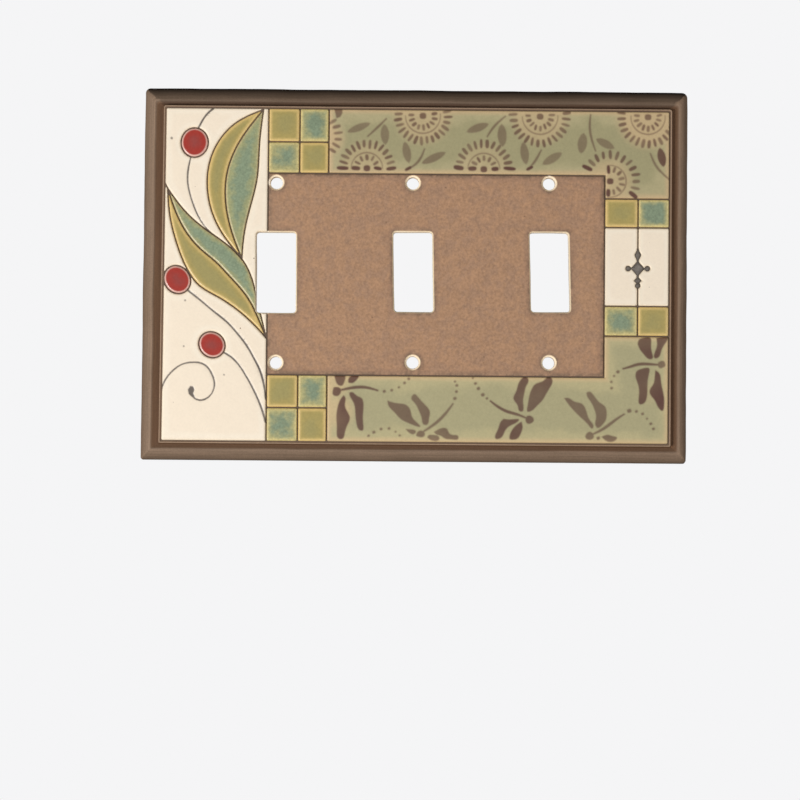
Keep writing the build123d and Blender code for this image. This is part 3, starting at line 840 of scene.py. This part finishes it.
for name, xs, zs, olive_first in (
        ("mosaic_top_high", mosaic_xs, (44.0, 55.33), True),
        ("mosaic_top_low", mosaic_xs, (33.4, 44.0), False),
        ("mosaic_bottom_high", mosaic_xs, (-45.8, -34.7), True),
        ("mosaic_bottom_low", mosaic_xs, (-57.23, -45.8), False),
        ("tile_upper", column_xs, (15.9, 25.6), True), ("tile_lower", column_xs, (-20.8, -10.7), False)):
    tiles[name + "_left"] = (xs[0], xs[1], *zs), olive_first
    tiles[name + "_right"] = (xs[1], xs[2], *zs), not olive_first
for node, (sides, is_olive) in tiles.items():
    piece = glaze_pool(node + "_glaze", lambda points: np.maximum(
        tile_gap(points, *sides), hole_setback - hole_gap(points)), sides, spacing=0.7,
        phase=sides[0] + sides[2], pool_depth=lambda points: rounded_depth(points, sides),
        fill=tile_fills.get(node, 1.0))
    settle(piece, node, *(("olive_glaze", olive_glaze) if is_olive else ("teal_glaze", pooled_teal)))


# ---------------------------------------------------------------- sage bands
# Two bands of soft sage glaze, along the top and the bottom, that turn into the right
# column.  A flower-head and leaf pattern is painted in brown slip through a stencil under
# the upper one, and dragonflies under the lower one.
band_start_x = -28.45
column_line_x = 64.9


def band_gap(edge_z, middle_z, leg_z):
    top, bottom = max(edge_z, leg_z), min(edge_z, leg_z)

    def gap(points):
        run = tile_gap(points, band_start_x, line_sides[1], min(edge_z, middle_z), max(edge_z, middle_z))
        leg = tile_gap(points, column_line_x, line_sides[1], bottom, top)
        return np.maximum(np.minimum(run, leg), hole_setback - hole_gap(points))
    return gap, (band_start_x, line_sides[1], bottom, top)


def oval(centre, length, width, turn):
    """A painted oval with blunt ends: its outline as a closed loop."""
    share = np.linspace(0, 2 * math.pi, 21)[:-1]
    x = length / 2 * np.sign(np.cos(share)) * np.abs(np.cos(share)) ** 0.75
    z = width / 2 * np.sign(np.sin(share)) * np.abs(np.sin(share)) ** 0.75
    return np.stack([centre[0] + x * math.cos(turn) - z * math.sin(turn),
                     centre[1] + x * math.sin(turn) + z * math.cos(turn)], 1)


def leaf_shape(start, end, width):
    """A painted leaf, pointed at both ends: its outline as a closed loop."""
    start, end = np.array(start, float), np.array(end, float)
    share = np.linspace(0, 1, 13)
    side = np.array([start[1] - end[1], end[0] - start[0]]) / math.dist(start, end)
    half = (width / 2 * np.sin(math.pi * share) ** 0.62)[:, None] * side
    middle = start + share[:, None] * (end - start)
    return between(middle + half, middle - half)


def ribbon(places, width):
    """A painted line that thins towards its ends: its outline as a closed loop."""
    middle = smooth_line(places, 0.5)
    half = width / 2 * (0.55 + 0.45 * np.sin(math.pi * np.linspace(0, 1, len(middle))))
    half = half[:, None] * sideways(middle)
    return np.vstack([middle + half, (middle - half)[::-1]])


random = np.random.default_rng(7)


def flower(centre, first, last, outer_count, outer_radius, inner_count, inner_radius, ring_radius, heavy):
    """A flower head: a dot, a ring of short strokes, a thin circle and a ring of long ones.

    Each shape comes with how strongly its slip covers.
    """
    shapes = [(oval(centre, 2.3, 2.1, 0), 0.95 if heavy else 0.8)]
    for count, radius, length, width in ((inner_count, inner_radius, 2.1, 1.0),
                                         (outer_count, outer_radius, 2.9, 1.1)):
        for i, angle in enumerate(np.radians(np.linspace(first, last, count)) if count else ()):
            away = radius + random.uniform(-0.2, 0.2)
            spot = (centre[0] + away * math.cos(angle), centre[1] + away * math.sin(angle))
            more = 1.35 if heavy and i in (0, count - 1) else 1.0
            shape = oval(spot, length * more * random.uniform(0.88, 1.1),
                         width * more * random.uniform(0.85, 1.2), angle + random.uniform(-0.15, 0.15))
            shapes.append((shape, 1.0 if more > 1 else random.uniform(0.64, 0.86)))
    if ring_radius:
        sweep = np.radians(np.linspace(first + 3, last - 3, 24))
        places = ring_radius * np.stack([np.cos(sweep), np.sin(sweep)], 1) + centre
        shapes.append((ribbon(places, 0.5), 0.62))
    return shapes


flower_band = []
for row in (((-15.6, 35.2), 180, 0, 14, 8.3, 7, 3.7, 5.3, True),
            ((3.2, 53.1), 176, 371, 16, 8.4, 9, 3.9, 5.9, False),
            ((23.9, 35.2), 177, 2, 14, 8.6, 7, 3.8, 5.4, True),
            ((42.8, 53.2), 176, 368, 16, 9.0, 9, 3.9, 6.0, False),
            ((79.3, 53.3), 171, 336, 14, 9.0, 0, 0, 0, False)):
    flower_band += flower(*row)
flower_band += flower((79.3, 53.3), 172, 370, 0, 0, 9, 3.9, 5.8, False)[1:]
flower_band += flower((66.6, 31.5), 150, -30, 13, 8.9, 0, 0, 0, True)
flower_band += flower((66.6, 31.5), 98, -99, 0, 0, 8, 4.0, 5.4, True)[1:]
flower_band += flower((-33.5, 46.0), 38, -38, 6, 8.1, 0, 0, 0, False)[1:]
cut_off_leaf = np.array([(-26.8, 55.2), (-24.0, 55.2), (-24.0, 53.8), (-24.7, 52.5), (-26.0, 52.0)])
flower_band.append((cut_off_leaf, 0.8))
for start, end, width in (((-22.3, 47.4), (-14.5, 50.5), 2.4), ((-9.8, 50.2), (-9.4, 43.2), 2.9),
                          ((-2.9, 44.3), (-1.4, 37.1), 2.8), ((2.9, 37.0), (11.0, 40.8), 2.6),
                          ((18.0, 47.8), (25.5, 50.6), 2.7), ((29.8, 50.6), (30.2, 42.8), 3.1),
                          ((37.1, 44.6), (38.2, 36.9), 2.9), ((43.7, 37.0), (50.3, 41.0), 2.8),
                          ((57.6, 47.8), (56.7, 40.8), 3.2), ((61.8, 45.8), (68.0, 42.6), 2.7),
                          ((83.3, 43.0), (84.7, 36.5), 2.8)):
    cover = 0.95 if start[0] > 80 else random.uniform(0.5, 0.62)
    flower_band.append((leaf_shape(start, end, width), cover))
for places in (((-15.5, 45.9), (-12.5, 48.7), (-9.0, 52.2)),
               ((-2.2, 34.9), (0.2, 36.2), (2.4, 38.6), (3.9, 42.1)),
               ((24.9, 46.1), (27.2, 49.6), (31.2, 53.3)),
               ((38.8, 35.3), (40.6, 37.3), (42.2, 39.8), (43.3, 42.0)),
               ((59.9, 54.2), (59.6, 50.0), (60.2, 46.0), (61.7, 41.5)),
               ((80.1, 41.2), (82.0, 37.0), (86.7, 32.2))):
    flower_band.append((ribbon(places, 0.85), 0.66))
for spot in ((-1.6, 35.2), (39.4, 35.7)):
    flower_band.append((oval(spot, 2.6, 1.1, 0.5), 1.0))

# each dragonfly: its wings' outlines, then its body's line, then the dots that trail from it
dragonflies = (
    ([[(-26, -35), (-22.2, -35), (-22.5, -36.8), (-23.5, -38.4), (-24.8, -38), (-25.6, -36.5)],
      [(-21.2, -37.3), (-21.3, -36.2), (-20.5, -35), (-17.6, -34.9), (-18.6, -36.5), (-19.8, -37.4)],
      [(-22.8, -41.5), (-22.2, -42.2), (-22.3, -44.5), (-21.5, -47), (-20.6, -49), (-21.4, -51.5),
       (-22.3, -54.5), (-23, -56.2), (-24.3, -56.2), (-25, -53), (-25.2, -49), (-24.8, -45.5),
       (-23.6, -42.5)],
      [(-20.9, -40.6), (-20, -40.4), (-18.2, -41.7), (-16.7, -42.4), (-16.1, -44), (-16.2, -48), (-16, -52),
       (-16.2, -53.4), (-17.3, -53.3), (-18.3, -51.5), (-18.8, -48), (-19, -45.5), (-19.7, -43.5),
       (-20.8, -41.5)],
      [(-26.2, -38.9), (-24.6, -38.8), (-23.6, -39.6), (-23.7, -40.6), (-24.8, -41.8), (-26.2, -41.6)]],
     [(-25, -40.1), (-20, -39), (-15.5, -38.8), (-11.1, -39.9)],
     [(-9.1, -40.1, 0.55), (-6.6, -39.7, 0.5), (-4.2, -38.7, 0.4), (-2.3, -37.2, 0.5), (-0.9, -35.8, 0.5)]),
    ([[(-8, -43.2), (-5, -44), (-1.3, -44.8), (-0.2, -46.5), (0.3, -48.5), (1.8, -50.3), (3.2, -52),
       (1.8, -51.8), (-0.5, -50.9), (-3.8, -49.2), (-5.5, -47.3), (-7.8, -44.6)],
      [(0.2, -41.5), (1, -40.9), (2.4, -42), (5, -44.8), (6.3, -46.7), (6.1, -49), (5.3, -51.3), (4.2, -51.2),
       (3.6, -49.3), (2.7, -46.8), (1, -43.8), (0, -42.5)],
      [(-1.8, -52.7), (1.7, -53.8), (1.2, -54.4), (-0.8, -53.9)],
      [(5.5, -55.5), (5.8, -54.8), (7.2, -54.6), (9.5, -55.3), (9.6, -56), (6.3, -56.2)],
      [(7.7, -53.6), (9.5, -52.6), (11, -52.2), (12.2, -52.6), (12.7, -53.7), (14, -54.6), (15.9, -54.9),
       (16, -55.8), (13.5, -56.1), (11.5, -55.9), (10, -54.9), (8.5, -54.5)],
      [(1.7, -55), (2.3, -53.5), (4.4, -53.6), (4.6, -55), (4, -55.4)]],
     [(3.6, -53.9), (8, -50.9), (11.5, -47.5), (14.2, -43.9)],
     [(14.7, -42.3, 0.6), (15.2, -40, 0.5), (15.3, -37.9, 0.5), (14.7, -36.6, 0.4), (-14.3, -55.1, 0.45),
      (-12.5, -53.9, 0.55), (-10.1, -52.8, 0.5), (-7.4, -52.6, 0.5), (-5.2, -53.7, 0.35),
      (-3.8, -54.9, 0.4)]),
    ([[(37.6, -34.9), (39.2, -35.1), (39.5, -36.3), (38.7, -38), (38.1, -40.5), (37.7, -43), (37.9, -45.5),
       (37.6, -46.5), (36.4, -46.4), (36, -45), (35, -43.3), (34.4, -42.2), (35.2, -40), (36.2, -36.8)],
      [(45.5, -35), (47, -34.9), (47.6, -36), (47, -38), (45.5, -40.5), (44, -43), (42.5, -44.5), (41, -46),
       (39.2, -46.6), (39.2, -44.5), (39.8, -41), (40.6, -38.8), (41.8, -37.2), (44.3, -36.2)],
      [(31.2, -49), (33.5, -49.2), (36.5, -49.3), (35.5, -50.3), (33, -51.6), (31.5, -53.5), (30.3, -55.5),
       (28.4, -55.7), (28.3, -55), (29.3, -52.5), (30.2, -50)],
      [(37.2, -49.9), (37.6, -51.5), (37, -54), (36, -55.6), (34.5, -56.1), (33.2, -55.8), (33.3, -54.3),
       (34.2, -52.5), (35.8, -50.8)],
      [(39, -48), (40.3, -47.9), (41.4, -49.6), (40.9, -50.2), (39.2, -50.6), (38.5, -49)]],
     [(39.4, -49), (36, -47.6), (32.5, -46.6), (29, -44.8), (26.5, -42.9)],
     [(25.5, -42.2, 0.45), (24.1, -41, 0.65), (22.6, -38.9, 0.6), (21.6, -37.2, 0.5), (20.7, -35.4, 0.35)]),
    ([[(51.5, -41.9), (53, -41.8), (55, -43), (57.5, -43.7), (58.6, -45), (59.3, -47), (60.3, -49.3),
       (61.5, -51.5), (61.2, -52.1), (59.8, -51), (57.5, -48.7), (55, -46.3), (53, -44)],
      [(59, -40), (60, -39.6), (61.5, -40.8), (63.5, -43.2), (65.5, -44.8), (65.9, -46.5), (65.7, -49),
       (64.5, -50.8), (62.8, -51.9), (62.1, -51), (62.3, -48.5), (61.8, -45.8), (60.3, -42.8), (59.3, -41.3)],
      [(62.5, -55), (63.7, -54.7), (63.4, -55.9), (62.6, -55.8)],
      [(64.2, -54.8), (66.3, -54.1), (68.2, -54.6), (69.5, -55), (69, -55.9), (65.3, -55.9)],
      [(58.7, -54.8), (59.1, -53.8), (60.2, -53.1), (61.5, -54), (61.5, -55.3), (59, -55.5)]],
     [(60.8, -54.2), (65, -52), (69, -49), (72, -47)],
     [(73.5, -46, 0.75), (75.9, -46.2, 0.5), (78, -47, 0.5), (79.5, -48.6, 0.35), (80.8, -50.3, 0.5),
      (81.7, -52, 0.5)]),
    ([[(76.2, -23.5), (76.6, -22), (78, -21.3), (80.5, -21.3), (80.8, -23.5), (81, -26), (81.2, -28.4),
       (80, -28.5), (78.6, -27.3), (77, -25.3)],
      [(82.5, -21.4), (86.5, -21.3), (85.3, -23.5), (84.2, -25.8), (83, -28.1), (81.9, -28.2), (82, -26.2),
       (82.7, -24)],
      [(77.5, -31.8), (80.2, -31.6), (80, -34), (79.6, -38), (79.4, -41.5), (78.2, -43.6), (77, -43.8),
       (76.6, -42), (76.8, -39.5), (76.2, -36.5), (75.5, -34), (76, -32.5)],
      [(82.2, -32.2), (83.4, -33), (84.2, -36), (85, -40), (85.3, -43.5), (84.6, -46), (83.4, -45),
       (82, -42.3), (80.6, -40.5), (80.3, -39.2), (81.5, -37), (82, -34.5)]],
     [(83.4, -30.4), (80, -30.2), (76.5, -30.3), (73.5, -31.2), (71.1, -31.9)],
     [(84.3, -30.3, 1.3), (69.6, -32.9, 0.6), (68.3, -34.3, 0.4), (67.4, -36.3, 0.45), (67.5, -38.4, 0.5)]))
dragonfly_band = []
for cover, (wings, body, dots) in zip((0.94, 0.78, 0.92, 0.78, 0.95), dragonflies):
    for wing in wings:
        outline = even_loop(smooth_line(wing + wing[:1], 0.5)[:-1], 0.5)
        dragonfly_band.append((outline, cover * random.uniform(0.96, 1.04)))
    dragonfly_band.append((ribbon(body, 1.05), 0.95 * cover))
    dragonfly_band += [(oval((x, z), 2 * radius, 1.8 * radius, 0.4), 0.75) for x, z, radius in dots]


def painted(shapes):
    """How strongly the slip of a set of painted shapes covers each point."""
    def ink(points):
        cover = np.zeros(len(points))
        for shape, weight in shapes:
            near = np.all((points > shape.min(0) - 0.4) & (points < shape.max(0) + 0.4), axis=1)
            if near.any():
                laid = weight * stroke(outline_gap(points[near], shape), 0.28)
                cover[near] = np.maximum(cover[near], laid)
        return cover
    return ink


# a zinc-matt sage glaze over brown slip: silky, tan where thin along its edges, and the
# slip under it shows milky brown
sage_glaze, thick_sage = [
    glaze(name, edge=edge, body=body, pool=pool, roughness=0.5, edge_to=2.2, pool_from=1.6, pool_to=6.0,
          cloud_size=11.0, mottle=0.06, ink="#552e24", cloud_gain=2.2)
    for name, edge, body, pool in (("silky_sage_glaze", "#c3a97f", "#ada27a", "#9e966f"),
                                   ("thick_silky_sage_glaze", "#cab083", "#b5aa7f", "#a79f78"))]
flower_warmth = [(-15.6, 35.2, 8.5, 0.45), (3.2, 53.1, 9.0, 0.6), (23.9, 35.2, 8.5, 0.4),
                 (42.8, 53.2, 9.0, 0.6), (79.3, 53.3, 10.0, 0.85), (66.6, 31.5, 7.5, 0.6),
                 (-28.5, 45.0, 4.5, 0.9)]
dragonfly_warmth = [(-24.5, -47.0, 5.0, 0.7), (-26.0, -37.0, 5.0, 0.7), (80.0, -40.0, 3.0, 0.25)]
for node, finish, shapes, warmth, levels in (
        ("sage_band_top", sage_glaze, flower_band, flower_warmth, (55.33, 33.4, 25.6)),
        ("sage_band_bottom", thick_sage, dragonfly_band, dragonfly_warmth, (-57.23, -34.7, -20.8))):
    gap, window = band_gap(*levels)
    piece = glaze_pool(node + "_glaze", gap, window, spacing=0.34, drawn=painted(shapes), drawn_rise=0.03,
                       phase=2.0, warm_spots=warmth)
    settle(piece, node, "sage_glaze", finish)


# ---------------------------------------------------------------- brown field
# The field round the switches: a thin dry rutile-brown glaze, brushed on, matt, with a
# fine mottle of lighter and darker crystals.  It burns pale round every hole.
brown_glaze = glaze("dry_rutile_glaze", edge="#7c6450", body="#a07b5f", pool="#aa8363", roughness=0.75,
                    edge_from=0.0, edge_to=1.8, cloud_size=3.0, mottle=0.2, specks=0.16, speck="#80624a",
                    lip="#f9e0b8", lip_width=0.4, blotch="#a07d62", blotch_size=3.5, fine_size=0.9)
field_sides = (panel_line_x, column_line_x, -34.7, 33.4)
piece = glaze_pool("brown_field_glaze", lambda points: np.maximum(
    tile_gap(points, *field_sides), hole_setback - hole_gap(points)), field_sides,
    thickness=0.5, spacing=1.0, phase=3.0, crown=0.02)
settle(piece, "brown_field", "brown_matte_glaze", brown_glaze)


# ---------------------------------------------------------------- cream column and its finial
# Two pools of cream glaze in the right column, parted by a drawn line that carries a small
# spear-and-diamond finial in raised iron slip.
finial_x, finial_z = 76.2, 2.1
finial_shapes = [np.array([(0.25, 6.6), (-0.25, 6.6), (-0.25, -6.6), (0.25, -6.6)]),
                 np.array([(3.25, 0.2), (-3.25, 0.2), (-3.25, -0.2), (3.25, -0.2)]),
                 np.array([(0, 2.5), (-1.1, 1.2), (-2.2, 0), (-1.1, -1.2), (0, -2.5), (1.1, -1.2), (2.2, 0),
                           (1.1, 1.2)]),
                 np.array([(0, 6.5), (-1.05, 4.6), (0, 2.4), (1.05, 4.6)]),
                 np.array([(0, -2.9), (-1.2, -4.1), (0, -5.3), (1.2, -4.1)])]
finial_shapes = [shape + (finial_x, finial_z) for shape in finial_shapes]
finial_beads = [((finial_x - 3.25, finial_z), 0.83), ((finial_x + 3.25, finial_z), 0.83),
                ((finial_x, finial_z - 5.8), 0.8)]


def finial_gap(points):
    gap = np.min([outline_gap(points, shape) for shape in finial_shapes], axis=0)
    for centre, radius in finial_beads:
        gap = np.minimum(gap, disc_gap(points, centre, radius))
    return gap


for node, left, right in (("cream_column_left", column_line_x, finial_x),
                          ("cream_column_right", finial_x, line_sides[1])):
    sides = (left, right, -10.7, 15.9)
    piece = glaze_pool(node + "_glaze", lambda points: np.maximum(
        tile_gap(points, *sides), 0.08 - finial_gap(points)), sides, phase=left,
        seed=((left + right) / 2, 12.0))
    settle(piece, node, "cream_glaze", cream_glaze)
# iron and manganese slip, trailed from a nib: matt grey-brown, rounded like a thread
slip = glaze("trailed_iron_slip", edge="#5d554d", body="#756d65", pool="#837b72", roughness=0.6, mottle=0.3,
             cloud_size=1.2)
piece = glaze_pool("finial_slip", finial_gap, (finial_x - 5, finial_x + 5, finial_z - 8, finial_z + 8),
                   thickness=0.5, spacing=0.3, phase=4.0)
settle(piece, "finial", "iron_slip", slip)


# ---------------------------------------------------------------- floor, light and camera
# The plate hangs clear above a pale floor, lit softly from the lower left in front, as by a
# window, with a weaker light from the right.
floor_mesh = bpy.data.meshes.new("pale_floor")
turn = np.linspace(0, 2 * math.pi, 97)[:-1]
floor_radius, floor_level = 1.2, -0.42        # metres
floor_points = [(floor_radius * math.cos(a), floor_radius * math.sin(a), floor_level) for a in turn]
floor_mesh.from_pydata(floor_points, [], [tuple(range(len(turn)))])
pale_floor = bpy.data.objects.new("pale_floor", floor_mesh)
bpy.context.scene.collection.objects.link(pale_floor)
# painted board, matt white, fading out at its edge
board, shader = new_finish("white_painted_board")
shader.inputs["Base Color"].default_value = linear("#f4f4f4")
shader.inputs["Roughness"].default_value = 0.8
spot = add_node(board, "ShaderNodeTexCoord").outputs["Object"]
away = add_node(board, "ShaderNodeVectorMath", {0: spot}, operation="LENGTH")
fade = add_node(board, "ShaderNodeMapRange", {"Value": away.outputs["Value"], "From Min": 0.5,
                                              "From Max": floor_radius, "To Min": 1.0, "To Max": 0.0},
                interpolation_type="SMOOTHSTEP")
board.node_tree.links.new(fade.outputs[0], shader.inputs["Alpha"])
floor_mesh.materials.append(board)

world = bpy.data.worlds.new("studio")
bpy.context.scene.world = world
world.use_nodes = True
backdrop = world.node_tree.nodes["Background"]
seen = add_node(world, "ShaderNodeLightPath").outputs["Is Camera Ray"]
way = add_node(world, "ShaderNodeSeparateXYZ", {
    0: add_node(world, "ShaderNodeTexCoord").outputs["Generated"]}).outputs["Z"]
upward = add_node(world, "ShaderNodeMapRange", {"Value": way, "From Min": -0.6, "From Max": 0.7})
ambient = add_node(world, "ShaderNodeMix", {0: upward.outputs[0], 6: linear("#8e8d8e"),
                                            7: linear("#2c2c2e")}, data_type="RGBA")
tint = add_node(world, "ShaderNodeMix", {0: seen, 6: ambient.outputs[2], 7: linear("#f5f5f6")},
                data_type="RGBA")
world.node_tree.links.new(tint.outputs[2], backdrop.inputs["Color"])

for name, place, size, watts in (("window", (-0.75, -1.05, -0.36), 0.5, 15.5),
                                 ("fill", (0.75, -1.2, -0.2), 0.8, 4.7)):
    lamp = bpy.data.lights.new(name, "AREA")
    lamp.shape = "DISK"
    lamp.size = size
    lamp.energy = watts
    light = bpy.data.objects.new(name, lamp)
    light.location = place
    light.rotation_mode = "QUATERNION"
    light.rotation_quaternion = (-Vector(place)).to_track_quat("-Z", "Y")
    bpy.context.scene.collection.objects.link(light)

bpy.context.scene.view_settings.view_transform = "Standard"
camera_place = Vector((-0.00924, -0.90747, -0.06648))
camera_aim = Vector((-0.00378, -0.00915, -0.04296))
camera_roll = math.radians(0.455)
camera = bpy.data.cameras.new("camera")
camera.lens = 120
camera.sensor_width = 36
viewpoint = bpy.data.objects.new("camera", camera)
viewpoint.location = camera_place
viewpoint.rotation_mode = "QUATERNION"
viewpoint.rotation_quaternion = (camera_aim - camera_place).to_track_quat("-Z", "Y") @ Quaternion(
    (0, 0, 1), camera_roll)
bpy.context.scene.collection.objects.link(viewpoint)
bpy.context.scene.camera = viewpoint

bpy.context.view_layer.update()
